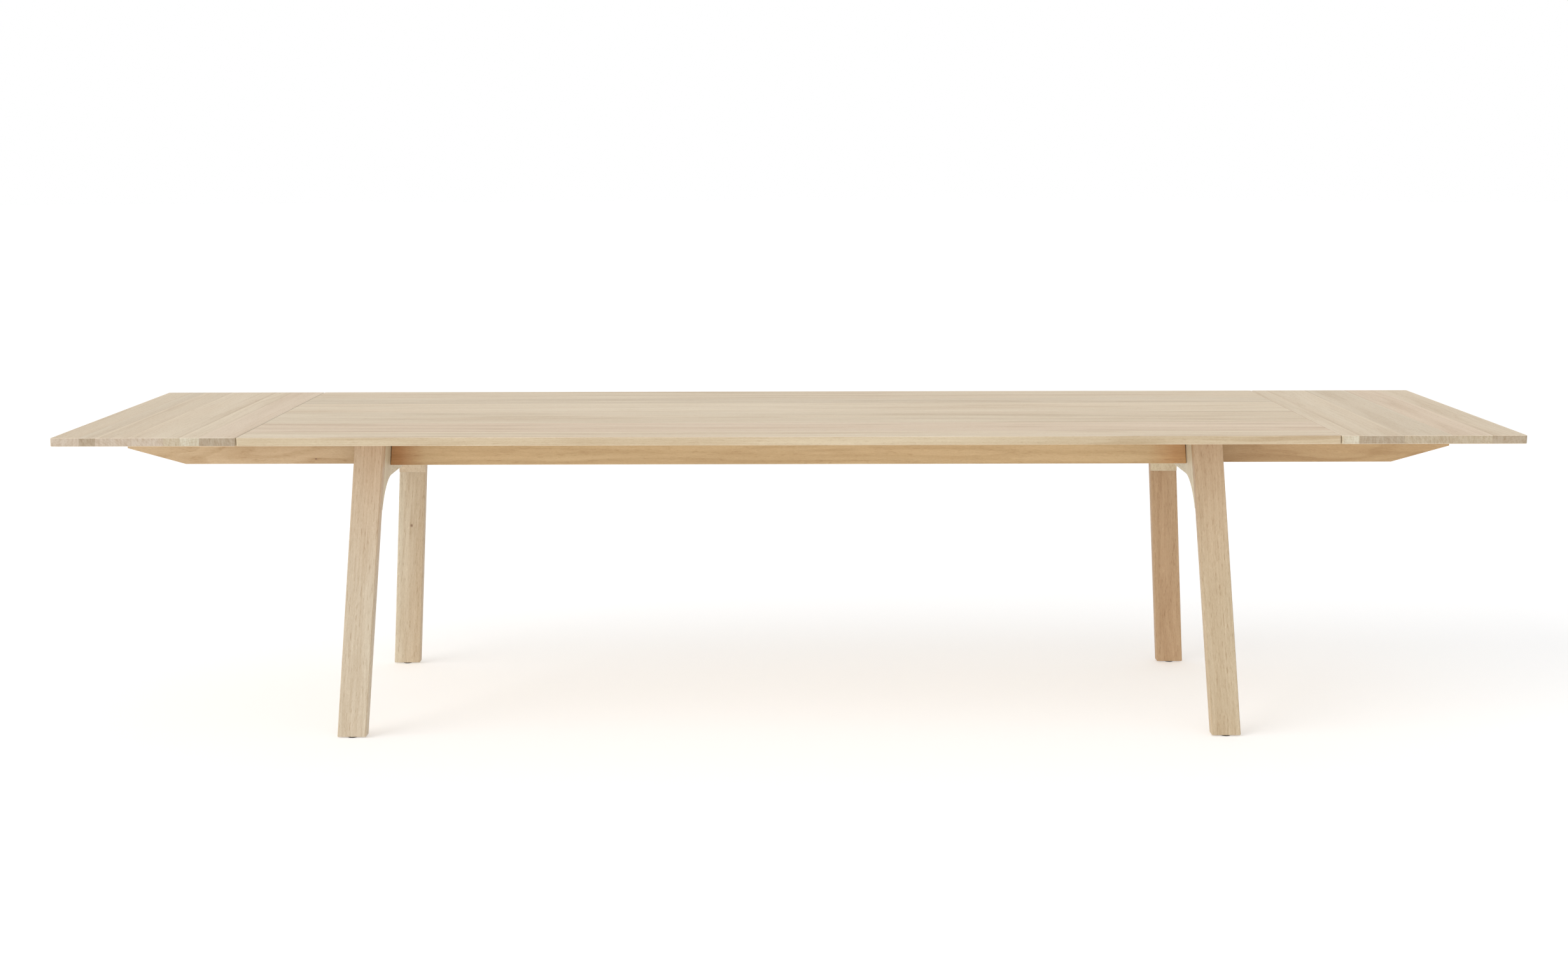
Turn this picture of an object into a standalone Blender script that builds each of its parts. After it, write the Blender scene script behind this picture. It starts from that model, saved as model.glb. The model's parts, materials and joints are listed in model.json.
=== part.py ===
"""Extendable dining table: a plank top on two splayed end frames, with two loose leaves
carried at the ends on four bearers that slide out from under the top.

Metres, +Z up, floor at z = 0. +X runs along the table, -Y is the front.
"""

from math import atan, cos, pi, radians, sin, sqrt

import bmesh
import bpy
from mathutils import Matrix, Vector

# Top and leaves
TABLE_HEIGHT = 0.740
TOP_WIDTH = 0.900
TOP_THICKNESS = 0.020
MAIN_LENGTH = 2.545
LEAF_LENGTH = 0.427
LEAF_GAP = 0.001
TOP_EDGE_RADIUS = 0.002

# End frames: two legs and a crossbar whose ends sweep down into the legs
END_OVERHANG = 0.278          # end of the main top to the leg's centre line, at the top
SIDE_OVERHANG = 0.147         # long edge of the top to the leg's outer face, at the top
LEG_WIDTH = 0.070
LEG_THICKNESS = 0.028
LEG_LEAN_X = 0.077            # metres outward for each metre down
LEG_LEAN_Y = 0.094
LEG_EDGE_RADIUS = 0.0025
CROSSBAR_DEPTH = 0.108
ARCH_RADIUS = 0.100
ARCH_DROP = 0.070             # crossbar's underside down to the tip of its arch
ARCH_STEPS = 14

# Rails and the stretcher between them
RAIL_SETBACK = 0.086          # leg's outer face to the rail's face, at the top
RAIL_THICKNESS = 0.022
RAIL_DEPTH = 0.080
RAIL_EDGE_RADIUS = 0.0015
STRETCHER_THICKNESS = 0.022

# Bearers, with the pegs and keepers that hold them in
BEARER_THICKNESS = 0.028
BEARER_TIP_INSET = 0.093      # leaf's outer end to the bearer's tip, pulled out
BEARER_TIP_DEPTH = 0.040
BEARER_TAPER_LENGTH = 0.140
BEARER_HIDE = 0.010           # how far the tip goes in under the main top
BEARER_CENTRE_GAP = 0.135     # pushed in: middle of the table to the bearer's inner end
BEARER_EDGE_RADIUS = 0.0015
REBATE_WIDTH = 0.012
REBATE_HEIGHT = 0.014
PEG_RADIUS = 0.005
PEG_INSET = 0.015             # bearer's inner end to the peg's axis
PEG_REACH = 0.014
KEEPER_LENGTH = 0.100
KEEPER_THICKNESS = 0.022

# Dowels and holes
FRAME_DOWEL_RADIUS = 0.005
LEG_DOWEL_DEPTH = 0.016
LEG_DOWEL_RISE = (0.022, 0.078)      # above the crossbar's underside
BAR_DOWEL_DEPTH = 0.030
RAIL_DOWEL_DEPTH = 0.025
RAIL_DOWEL_RISE = (0.020, 0.060)     # above the rail's underside
LEAF_DOWEL_RADIUS = 0.004
LEAF_DOWEL_DEPTH = 0.020
LEAF_DOWEL_SPREAD = 0.360

# Steel brackets between the crossbars and the top
BRACKET_LENGTH = 0.060
BRACKET_LEG = 0.040
BRACKET_THICKNESS = 0.003
SCREW_RADIUS = 0.0022
SCREW_HEAD_RADIUS = 0.0045
SCREW_HEAD_HEIGHT = 0.0025
SCREW_BITE = 0.014

# Felt glides
GLIDE_RADIUS = 0.011
GLIDE_THICKNESS = 0.0025

# Clearances
JOINT_GAP = 0.0003            # glued or screwed faces
SLIDE_GAP = 0.0008            # bearer to what it slides in
SOCKET_GAP = 0.0005           # leaf dowel to its socket
HOLE_GAP = 0.0003             # fixed dowel or screw to its hole
SOCKET_SLACK = 0.002          # beyond the end of a dowel

# Levels and positions that follow from the sizes above
UNDER_TOP = TABLE_HEIGHT - TOP_THICKNESS
LEG_TOP_X = MAIN_LENGTH / 2 - END_OVERHANG
LEG_TOP_Y = TOP_WIDTH / 2 - SIDE_OVERHANG
BAR_BOTTOM = UNDER_TOP - CROSSBAR_DEPTH
RAIL_BOTTOM = UNDER_TOP - RAIL_DEPTH
RAIL_FACE_Y = LEG_TOP_Y - RAIL_SETBACK
RAIL_BACK_Y = RAIL_FACE_Y - RAIL_THICKNESS
BEARER_OUT_Y = RAIL_BACK_Y - SLIDE_GAP
BEARER_IN_Y = BEARER_OUT_Y - BEARER_THICKNESS
BEARER_TOP = UNDER_TOP - SLIDE_GAP
LEAF_IN_X = MAIN_LENGTH / 2 + LEAF_GAP
BEARER_TIP_X = LEAF_IN_X + LEAF_LENGTH - BEARER_TIP_INSET
BEARER_TRAVEL = BEARER_TIP_X - MAIN_LENGTH / 2 + BEARER_HIDE
BEARER_INNER_X = BEARER_TRAVEL + BEARER_CENTRE_GAP
PEG_X = BEARER_INNER_X + PEG_INSET
KEEPER_INNER_X = PEG_X + PEG_RADIUS + 0.005
KEEPER_OUTER_X = KEEPER_INNER_X + KEEPER_LENGTH
REBATE_END_X = KEEPER_OUTER_X + BEARER_TRAVEL + 0.004

SIDES = {"left": -1, "right": 1}
FACES = {"front": -1, "rear": 1}


def clear_scene():
    for item in list(bpy.data.objects):
        bpy.data.objects.remove(item, do_unlink=True)


def make_material(name, colour, roughness, metallic=0.0):
    material = bpy.data.materials.new(name)
    material.use_nodes = True
    shader = material.node_tree.nodes["Principled BSDF"]
    shader.inputs["Base Color"].default_value = (*colour, 1.0)
    shader.inputs["Roughness"].default_value = roughness
    shader.inputs["Metallic"].default_value = metallic
    material.diffuse_color = (*colour, 1.0)
    return material


def make_collection(name):
    collection = bpy.data.collections.new(name)
    bpy.context.scene.collection.children.link(collection)
    return collection


clear_scene()
PARTS = make_collection("extendable_table")
CUTTERS = make_collection("cutters")

TOP_OAK = make_material("top_oak", (0.55, 0.42, 0.28), 0.55)
FRAME_OAK = make_material("frame_oak", (0.47, 0.33, 0.20), 0.55)
BEARER_OAK = make_material("bearer_oak", (0.45, 0.30, 0.17), 0.58)
BEECH = make_material("beech", (0.62, 0.44, 0.28), 0.60)
STEEL = make_material("zinc_steel", (0.62, 0.63, 0.64), 0.35, 1.0)
FELT = make_material("felt", (0.10, 0.09, 0.08), 0.95)


def leg_x(z):
    """Centre line of a leg along the table, as a distance from the middle."""
    return LEG_TOP_X + LEG_LEAN_X * (UNDER_TOP - z)


def leg_outer_y(z):
    return LEG_TOP_Y + LEG_LEAN_Y * (UNDER_TOP - z)


def bar_side_x(z):
    """Face of the end frame towards the middle of the table."""
    return leg_x(z) - LEG_WIDTH / 2


def add_object(name, mesh, location, material, smooth=False):
    mesh.name = name
    item = bpy.data.objects.new(name, mesh)
    item.location = location
    PARTS.objects.link(item)
    if not mesh.materials:
        mesh.materials.append(material)
    if smooth:
        mesh.polygons.foreach_set("use_smooth", [True] * len(mesh.polygons))
    return item


def round_edges(item, radius, segments=2):
    bevel = item.modifiers.new("edges", "BEVEL")
    bevel.width = radius
    bevel.segments = segments
    bevel.limit_method = "ANGLE"
    bevel.angle_limit = radians(25.0)


def shear_mesh(mesh, lean_x, lean_y):
    """Shift each point sideways in proportion to its height."""
    shear = Matrix.Identity(4)
    shear[0][2] = lean_x
    shear[1][2] = lean_y
    mesh.transform(shear)


def add_block(name, size, location, material, radius, lean=(0.0, 0.0)):
    body = bmesh.new()
    bmesh.ops.create_cube(body, size=1.0)
    bmesh.ops.scale(body, vec=Vector(size), verts=body.verts)
    mesh = bpy.data.meshes.new(name)
    body.to_mesh(mesh)
    body.free()
    shear_mesh(mesh, *lean)
    item = add_object(name, mesh, location, material)
    round_edges(item, radius)
    return item


def outline_mesh(name, points, thickness, turn):
    """Flat outline given extruded thickness, then turned into place by a rotation."""
    curve = bpy.data.curves.new(name, "CURVE")
    curve.dimensions = "2D"
    curve.fill_mode = "BOTH"
    curve.extrude = thickness / 2
    spline = curve.splines.new("POLY")
    spline.points.add(len(points) - 1)
    for point, (across, up) in zip(spline.points, points):
        point.co = (across, up, 0.0, 1.0)
    spline.use_cyclic_u = True
    holder = bpy.data.objects.new(name + "_outline", curve)
    bpy.context.scene.collection.objects.link(holder)
    evaluated = holder.evaluated_get(bpy.context.evaluated_depsgraph_get())
    mesh = bpy.data.meshes.new_from_object(evaluated)
    bpy.data.objects.remove(holder, do_unlink=True)
    bpy.data.curves.remove(curve)
    body = bmesh.new()
    body.from_mesh(mesh)
    bmesh.ops.remove_doubles(body, verts=body.verts, dist=0.000005)
    bmesh.ops.dissolve_limit(
        body, angle_limit=radians(0.5), verts=body.verts, edges=body.edges
    )
    bmesh.ops.recalc_face_normals(body, faces=body.faces)
    body.to_mesh(mesh)
    body.free()
    mesh.transform(turn)
    return mesh


# An outline drawn as (x, z) or as (y, z)
ALONG_X = Matrix(((1, 0, 0, 0), (0, 0, -1, 0), (0, 1, 0, 0), (0, 0, 0, 1)))
ALONG_Y = Matrix(((0, 0, 1, 0), (1, 0, 0, 0), (0, 1, 0, 0), (0, 0, 0, 1)))


def add_turned(name, profile, start, direction, material, steps=24):
    """Round piece: (radius, height) points from the top down, turned about its axis."""
    mesh = bpy.data.meshes.new(name)
    points = [(radius, 0.0, height) for radius, height in profile]
    mesh.from_pydata(points, [(i, i + 1) for i in range(len(points) - 1)], [])
    item = add_object(name, mesh, start, material)
    item.rotation_mode = "QUATERNION"
    item.rotation_quaternion = Vector(direction).to_track_quat("Z", "Y")
    turn = item.modifiers.new("turn", "SCREW")
    turn.axis = "Z"
    turn.angle = 2 * pi
    turn.steps = steps
    turn.render_steps = steps
    turn.use_merge_vertices = True
    turn.merge_threshold = 0.00002
    turn.use_smooth_shade = True
    return item


def add_dowel(name, centre, direction, radius, length):
    """Plain dowel with a small chamfer at each end."""
    chamfer = radius * 0.2
    half = length / 2
    profile = (
        (0.0, half),
        (radius - chamfer, half),
        (radius, half - chamfer),
        (radius, chamfer - half),
        (radius - chamfer, -half),
        (0.0, -half),
    )
    return add_turned(name, profile, centre, direction, BEECH)


def add_screw(name, head_face, direction):
    """Pan-head screw; head_face is where the head bears, direction is the way it is driven."""
    length = SCREW_BITE + BRACKET_THICKNESS
    profile = (
        (0.0, length),
        (SCREW_RADIUS * 0.3, length - SCREW_RADIUS),
        (SCREW_RADIUS, length - 2.5 * SCREW_RADIUS),
        (SCREW_RADIUS, 0.0),
        (SCREW_HEAD_RADIUS, 0.0),
        (SCREW_HEAD_RADIUS, -SCREW_HEAD_HEIGHT * 0.5),
        (SCREW_HEAD_RADIUS * 0.7, -SCREW_HEAD_HEIGHT),
        (0.0, -SCREW_HEAD_HEIGHT),
    )
    return add_turned(name, profile, head_face, direction, STEEL)


def drill(item, holes):
    """Cut straight round holes, each given as (start, end, radius)."""
    body = bmesh.new()
    for start, end, radius in holes:
        axis = Vector(end) - Vector(start)
        place = Matrix.Translation((Vector(start) + Vector(end)) / 2)
        place = place @ axis.to_track_quat("Z", "Y").to_matrix().to_4x4()
        bmesh.ops.create_cone(
            body, cap_ends=True, segments=24, radius1=radius, radius2=radius,
            depth=axis.length, matrix=place,
        )
    cut_with(item, body, "holes")


def cut_box(item, low, high, name):
    body = bmesh.new()
    bmesh.ops.create_cube(body, size=1.0)
    size = Vector(high) - Vector(low)
    bmesh.ops.scale(body, vec=size, verts=body.verts)
    bmesh.ops.translate(body, vec=(Vector(low) + Vector(high)) / 2, verts=body.verts)
    cut_with(item, body, name)


def cut_with(item, body, name):
    mesh = bpy.data.meshes.new(item.name + "_" + name)
    body.to_mesh(mesh)
    body.free()
    cutter = bpy.data.objects.new(item.name + "_" + name, mesh)
    cutter.hide_render = True
    cutter.display_type = "WIRE"
    CUTTERS.objects.link(cutter)
    boolean = item.modifiers.new(name, "BOOLEAN")
    boolean.operation = "DIFFERENCE"
    boolean.solver = "EXACT"
    boolean.object = cutter


def leaf_dowel_rows():
    return (-LEAF_DOWEL_SPREAD, 0.0, LEAF_DOWEL_SPREAD)


def sorted_box(x_range, y_range, z_range):
    """Low and high corners from three ranges given either way round."""
    ranges = (x_range, y_range, z_range)
    return tuple(min(pair) for pair in ranges), tuple(max(pair) for pair in ranges)


def build_main_top():
    middle = TABLE_HEIGHT - TOP_THICKNESS / 2
    top = add_block(
        "main_top", (MAIN_LENGTH, TOP_WIDTH, TOP_THICKNESS), (0.0, 0.0, middle),
        TOP_OAK, TOP_EDGE_RADIUS,
    )
    holes = []
    for side in SIDES.values():
        end_x = side * MAIN_LENGTH / 2
        depth = LEAF_DOWEL_DEPTH + SOCKET_SLACK
        for row in leaf_dowel_rows():
            holes.append((
                (end_x + side * 0.01, row, middle),
                (end_x - side * depth, row, middle),
                LEAF_DOWEL_RADIUS + SOCKET_GAP,
            ))
        screw_x = side * bracket_screw_x()
        holes.append((
            (screw_x, 0.0, UNDER_TOP - 0.01),
            (screw_x, 0.0, UNDER_TOP + SCREW_BITE + HOLE_GAP),
            SCREW_RADIUS + HOLE_GAP,
        ))
    drill(top, holes)


def build_leaf(side_name, side):
    middle = TABLE_HEIGHT - TOP_THICKNESS / 2
    inner_x = side * LEAF_IN_X
    leaf = add_block(
        "leaf_" + side_name, (LEAF_LENGTH, TOP_WIDTH, TOP_THICKNESS),
        (inner_x + side * LEAF_LENGTH / 2, 0.0, middle), TOP_OAK, TOP_EDGE_RADIUS,
    )
    holes = []
    for number, row in enumerate(leaf_dowel_rows(), start=1):
        holes.append((
            (inner_x - side * 0.01, row, middle),
            (inner_x + side * (LEAF_DOWEL_DEPTH + HOLE_GAP), row, middle),
            LEAF_DOWEL_RADIUS + HOLE_GAP,
        ))
        add_dowel(
            f"leaf_dowel_{side_name}_{number}", (inner_x, row, middle), (side, 0, 0),
            LEAF_DOWEL_RADIUS, 2 * LEAF_DOWEL_DEPTH,
        )
    drill(leaf, holes)


def leg_dowel_axis(face):
    """Square to the leg's inner face, pointing towards the middle of the table."""
    return Vector((0.0, -face, -LEG_LEAN_Y)).normalized()


def leg_dowel_spots(side, face):
    """Where each dowel's axis crosses the joint between leg and crossbar."""
    spots = []
    for rise in LEG_DOWEL_RISE:
        z = BAR_BOTTOM + rise
        spots.append(Vector((side * leg_x(z), face * (leg_outer_y(z) - LEG_THICKNESS), z)))
    return spots


def build_leg(side_name, side, face_name, face):
    name = f"{face_name}_{side_name}"
    bottom = GLIDE_THICKNESS + JOINT_GAP
    height = UNDER_TOP - JOINT_GAP - bottom
    middle = bottom + height / 2
    leg = add_block(
        "leg_" + name, (LEG_WIDTH, LEG_THICKNESS, height),
        (side * leg_x(middle), face * (leg_outer_y(middle) - LEG_THICKNESS / 2), middle),
        FRAME_OAK, LEG_EDGE_RADIUS, lean=(-side * LEG_LEAN_X, -face * LEG_LEAN_Y),
    )
    axis = leg_dowel_axis(face)
    radius = FRAME_DOWEL_RADIUS + HOLE_GAP
    holes = []
    for number, spot in enumerate(leg_dowel_spots(side, face), start=1):
        holes.append((spot + axis * 0.01, spot - axis * (LEG_DOWEL_DEPTH + HOLE_GAP), radius))
        add_dowel(
            f"leg_dowel_{name}_{number}",
            spot + axis * (BAR_DOWEL_DEPTH - LEG_DOWEL_DEPTH) / 2, axis,
            FRAME_DOWEL_RADIUS, BAR_DOWEL_DEPTH + LEG_DOWEL_DEPTH,
        )
    drill(leg, holes)
    glide = (
        (0.0, GLIDE_THICKNESS),
        (GLIDE_RADIUS, GLIDE_THICKNESS),
        (GLIDE_RADIUS, 0.0),
        (0.0, 0.0),
    )
    foot_y = face * (leg_outer_y(0.0) - LEG_THICKNESS / 2)
    add_turned("glide_" + name, glide, (side * leg_x(0.0), foot_y, 0.0), (0, 0, 1), FELT)


def crossbar_outline():
    """Half of the outline as (y, z), from the middle of the underside round to the top."""
    inner_y = LEG_THICKNESS + JOINT_GAP
    tip_z = BAR_BOTTOM - ARCH_DROP
    centre_z = BAR_BOTTOM - ARCH_RADIUS
    centre_y = leg_outer_y(centre_z) - inner_y - ARCH_RADIUS * sqrt(1 + LEG_LEAN_Y**2)
    end_angle = atan((tip_z - centre_z) / sqrt(ARCH_RADIUS**2 - (tip_z - centre_z) ** 2))
    half = []
    for step in range(ARCH_STEPS + 1):
        angle = pi / 2 + (end_angle - pi / 2) * step / ARCH_STEPS
        half.append((centre_y + ARCH_RADIUS * cos(angle), centre_z + ARCH_RADIUS * sin(angle)))
    top = UNDER_TOP - JOINT_GAP
    notch_floor = RAIL_BOTTOM - JOINT_GAP
    half += [
        (leg_outer_y(tip_z) - inner_y, tip_z),
        (leg_outer_y(top) - inner_y, top),
        (BEARER_OUT_Y + SLIDE_GAP, top),
        (BEARER_OUT_Y + SLIDE_GAP, notch_floor),
        (BEARER_IN_Y - SLIDE_GAP, notch_floor),
        (BEARER_IN_Y - SLIDE_GAP, top),
    ]
    return half


def build_crossbar(side_name, side):
    half = crossbar_outline()
    middle = (BAR_BOTTOM + UNDER_TOP) / 2
    points = [(y, z - middle) for y, z in half]
    points += [(-y, z - middle) for y, z in reversed(half)]
    mesh = outline_mesh("crossbar_" + side_name, points, LEG_WIDTH, ALONG_Y)
    shear_mesh(mesh, -side * LEG_LEAN_X, 0.0)
    bar = add_object(
        "crossbar_" + side_name, mesh, (side * leg_x(middle), 0.0, middle), FRAME_OAK
    )
    round_edges(bar, 0.0008, segments=1)
    holes = []
    for face in FACES.values():
        axis = leg_dowel_axis(face)
        for spot in leg_dowel_spots(side, face):
            holes.append((
                spot - axis * 0.01,
                spot + axis * (BAR_DOWEL_DEPTH + HOLE_GAP),
                FRAME_DOWEL_RADIUS + HOLE_GAP,
            ))
        for spot in rail_dowel_spots(side, face):
            holes.append((
                spot - Vector((side * 0.01, 0.0, 0.0)),
                spot + Vector((side * (RAIL_DOWEL_DEPTH + HOLE_GAP), 0.0, 0.0)),
                FRAME_DOWEL_RADIUS + HOLE_GAP,
            ))
    spot, drive = bar_screw(side)
    holes.append((
        spot - drive * 0.01, spot + drive * (SCREW_BITE + HOLE_GAP), SCREW_RADIUS + HOLE_GAP
    ))
    drill(bar, holes)


def rail_dowel_spots(side, face):
    """Where each dowel's axis crosses the joint between rail and crossbar."""
    spots = []
    for rise in RAIL_DOWEL_RISE:
        z = RAIL_BOTTOM + rise
        spots.append(Vector((
            side * bar_side_x(z), face * (RAIL_FACE_Y - RAIL_THICKNESS / 2), z
        )))
    return spots


def build_rail(face_name, face):
    top = UNDER_TOP - JOINT_GAP
    middle = (RAIL_BOTTOM + top) / 2
    corners = []
    for side, z in ((-1, RAIL_BOTTOM), (1, RAIL_BOTTOM), (1, top), (-1, top)):
        corners.append((side * (bar_side_x(z) - JOINT_GAP), z - middle))
    mesh = outline_mesh("rail_" + face_name, corners, RAIL_THICKNESS, ALONG_X)
    rail = add_object(
        "rail_" + face_name, mesh, (0.0, face * (RAIL_FACE_Y - RAIL_THICKNESS / 2), middle),
        FRAME_OAK,
    )
    round_edges(rail, RAIL_EDGE_RADIUS)
    holes = []
    for side_name, side in SIDES.items():
        for number, spot in enumerate(rail_dowel_spots(side, face), start=1):
            holes.append((
                spot + Vector((side * 0.01, 0.0, 0.0)),
                spot - Vector((side * (RAIL_DOWEL_DEPTH + HOLE_GAP), 0.0, 0.0)),
                FRAME_DOWEL_RADIUS + HOLE_GAP,
            ))
            add_dowel(
                f"rail_dowel_{face_name}_{side_name}_{number}", spot, (side, 0, 0),
                FRAME_DOWEL_RADIUS, 2 * RAIL_DOWEL_DEPTH,
            )
    drill(rail, holes)


def build_stretcher():
    length = 2 * (RAIL_BACK_Y - JOINT_GAP)
    top = UNDER_TOP - JOINT_GAP
    add_block(
        "stretcher", (STRETCHER_THICKNESS, length, top - RAIL_BOTTOM),
        (0.0, 0.0, (top + RAIL_BOTTOM) / 2), FRAME_OAK, RAIL_EDGE_RADIUS,
    )


def build_bearer(side_name, side, face_name, face):
    name = f"{face_name}_{side_name}"
    middle_x = (BEARER_INNER_X + BEARER_TIP_X) / 2
    middle_z = (RAIL_BOTTOM + BEARER_TOP) / 2
    outline = (
        (BEARER_INNER_X, BEARER_TOP),
        (BEARER_INNER_X, RAIL_BOTTOM),
        (BEARER_TIP_X - BEARER_TAPER_LENGTH, RAIL_BOTTOM),
        (BEARER_TIP_X, BEARER_TOP - BEARER_TIP_DEPTH),
        (BEARER_TIP_X, BEARER_TOP),
    )
    points = [(side * (x - middle_x), z - middle_z) for x, z in outline]
    mesh = outline_mesh("bearer_" + name, points, BEARER_THICKNESS, ALONG_X)
    middle_y = face * (BEARER_OUT_Y + BEARER_IN_Y) / 2
    bearer = add_object(
        "bearer_" + name, mesh, (side * middle_x, middle_y, middle_z), BEARER_OAK
    )
    round_edges(bearer, BEARER_EDGE_RADIUS)
    low, high = sorted_box(
        (side * (BEARER_INNER_X - 0.01), side * REBATE_END_X),
        (face * (BEARER_IN_Y - 0.01), face * (BEARER_IN_Y + REBATE_WIDTH)),
        (RAIL_BOTTOM - 0.01, RAIL_BOTTOM + REBATE_HEIGHT),
    )
    cut_box(bearer, low, high, "rebate")
    peg_z = (RAIL_BOTTOM + REBATE_HEIGHT + BEARER_TOP) / 2
    peg_depth = BEARER_THICKNESS / 2
    joint = Vector((side * PEG_X, face * BEARER_IN_Y, peg_z))
    inward = Vector((0.0, -face, 0.0))
    drill(bearer, [(
        joint + inward * 0.01, joint - inward * (peg_depth + HOLE_GAP), PEG_RADIUS + HOLE_GAP
    )])
    add_dowel(
        "stop_peg_" + name, joint + inward * (PEG_REACH - peg_depth) / 2, inward,
        PEG_RADIUS, PEG_REACH + peg_depth,
    )


def build_keeper(side_name, side, face_name, face):
    """L-shaped block whose lip runs in the bearer's rebate."""
    name = f"keeper_{face_name}_{side_name}"
    arm_y = BEARER_IN_Y - SLIDE_GAP
    lip_y = BEARER_IN_Y + REBATE_WIDTH - SLIDE_GAP
    bottom = RAIL_BOTTOM + JOINT_GAP
    lip_top = RAIL_BOTTOM + REBATE_HEIGHT - SLIDE_GAP
    top = UNDER_TOP - JOINT_GAP
    middle_z = (bottom + top) / 2
    outline = (
        (arm_y - KEEPER_THICKNESS, bottom),
        (lip_y, bottom),
        (lip_y, lip_top),
        (arm_y, lip_top),
        (arm_y, top),
        (arm_y - KEEPER_THICKNESS, top),
    )
    points = [(face * (y - arm_y), z - middle_z) for y, z in outline]
    mesh = outline_mesh(name, points, KEEPER_LENGTH, ALONG_Y)
    middle_x = side * (KEEPER_INNER_X + KEEPER_OUTER_X) / 2
    keeper = add_object(name, mesh, (middle_x, face * arm_y, middle_z), BEECH)
    round_edges(keeper, 0.0006, segments=1)


def bracket_face_x(z):
    """Crossbar's inner face, less the joint gap."""
    return bar_side_x(z) - JOINT_GAP


def bracket_screw_x():
    return bracket_face_x(UNDER_TOP) - BRACKET_LEG * 0.6


def bar_screw(side):
    """Where the bracket's side screw meets the crossbar, and the way it is driven."""
    z = UNDER_TOP - BRACKET_LEG * 0.6
    drive = Vector((side, 0.0, LEG_LEAN_X)).normalized()
    return Vector((side * bar_side_x(z), 0.0, z)), drive


def build_bracket(side_name, side):
    """Steel angle bent to the frame's lean, with one screw up and one across."""
    top = UNDER_TOP - JOINT_GAP
    low = top - BRACKET_LEG
    outline = (
        (bracket_face_x(top) - BRACKET_LEG, top),
        (bracket_face_x(top) - BRACKET_LEG, top - BRACKET_THICKNESS),
        (bracket_face_x(top) - BRACKET_THICKNESS, top - BRACKET_THICKNESS),
        (bracket_face_x(low) - BRACKET_THICKNESS, low),
        (bracket_face_x(low), low),
        (bracket_face_x(top), top),
    )
    centre_x = bracket_face_x(top)
    points = [(side * (x - centre_x), z - top) for x, z in outline]
    mesh = outline_mesh("bracket_" + side_name, points, BRACKET_LENGTH, ALONG_X)
    bracket = add_object("bracket_" + side_name, mesh, (side * centre_x, 0.0, top), STEEL)
    round_edges(bracket, 0.0004, segments=1)
    up = Vector((0.0, 0.0, 1.0))
    top_head = Vector((side * bracket_screw_x(), 0.0, top - BRACKET_THICKNESS))
    spot, drive = bar_screw(side)
    seat = BRACKET_THICKNESS * cos(atan(LEG_LEAN_X)) + 2 * JOINT_GAP
    side_head = spot - drive * seat
    radius = SCREW_RADIUS + HOLE_GAP
    drill(bracket, [
        (top_head - up * 0.005, top_head + up * 0.010, radius),
        (side_head - drive * 0.005, side_head + drive * 0.010, radius),
    ])
    add_screw("screw_top_" + side_name, top_head - up * JOINT_GAP, up)
    add_screw("screw_bar_" + side_name, side_head, drive)


build_main_top()
build_stretcher()
for side_name, side in SIDES.items():
    build_leaf(side_name, side)
    build_crossbar(side_name, side)
    build_bracket(side_name, side)
    for face_name, face in FACES.items():
        build_leg(side_name, side, face_name, face)
        build_bearer(side_name, side, face_name, face)
        build_keeper(side_name, side, face_name, face)
for face_name, face in FACES.items():
    build_rail(face_name, face)
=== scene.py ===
"""Looks of the extendable oak dining table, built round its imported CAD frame.

Metres, +Z up, floor at z = 0. +X runs along the table, -Y is the front.
Every wooden piece carries its own wood: each board has a direction for its fibres, a pith for
its growth rings and a stain, stored on the mesh and read by one family of oak materials.
"""

import json
import random
from math import atan, cos, pi, radians, sin, sqrt

import bmesh
import bpy
from mathutils import Matrix, Vector


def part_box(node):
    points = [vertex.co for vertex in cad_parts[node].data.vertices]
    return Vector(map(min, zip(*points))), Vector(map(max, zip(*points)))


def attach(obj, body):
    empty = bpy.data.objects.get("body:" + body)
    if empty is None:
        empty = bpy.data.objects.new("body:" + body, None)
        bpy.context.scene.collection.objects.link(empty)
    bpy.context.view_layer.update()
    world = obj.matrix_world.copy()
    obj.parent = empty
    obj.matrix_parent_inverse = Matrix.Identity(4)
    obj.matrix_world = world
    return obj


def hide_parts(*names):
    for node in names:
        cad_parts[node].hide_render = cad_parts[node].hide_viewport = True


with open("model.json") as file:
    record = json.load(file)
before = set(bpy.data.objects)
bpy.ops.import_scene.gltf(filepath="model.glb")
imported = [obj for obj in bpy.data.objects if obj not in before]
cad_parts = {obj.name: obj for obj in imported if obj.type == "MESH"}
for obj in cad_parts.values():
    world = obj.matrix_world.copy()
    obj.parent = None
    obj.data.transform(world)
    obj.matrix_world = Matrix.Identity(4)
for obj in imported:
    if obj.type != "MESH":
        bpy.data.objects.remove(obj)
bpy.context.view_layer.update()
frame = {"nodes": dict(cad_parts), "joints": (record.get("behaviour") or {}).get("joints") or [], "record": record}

SIDES = {"left": -1, "right": 1}
FACES = {"front": -1, "rear": 1}
X_AXIS = Vector((1.0, 0.0, 0.0))
Y_AXIS = Vector((0.0, 1.0, 0.0))
Z_AXIS = Vector((0.0, 0.0, 1.0))

# Sizes that the CAD gives only through its boxes
LEG_WIDTH = 0.070
LEG_THICKNESS = 0.028
ARCH_RADIUS = 0.100
JOINT_GAP = 0.0003
RAIL_END_GAP = 0.0018
BEARER_TIP_DEPTH = 0.040
BEARER_TAPER_LENGTH = 0.140
REBATE_WIDTH = 0.012
REBATE_HEIGHT = 0.014
REBATE_SPARE = 0.004
SOCKET_CLEARANCE = 0.0005
SOCKET_SPARE_DEPTH = 0.003
# How far a cutter reaches past the face that it enters
OVERSHOOT = 0.02

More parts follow.
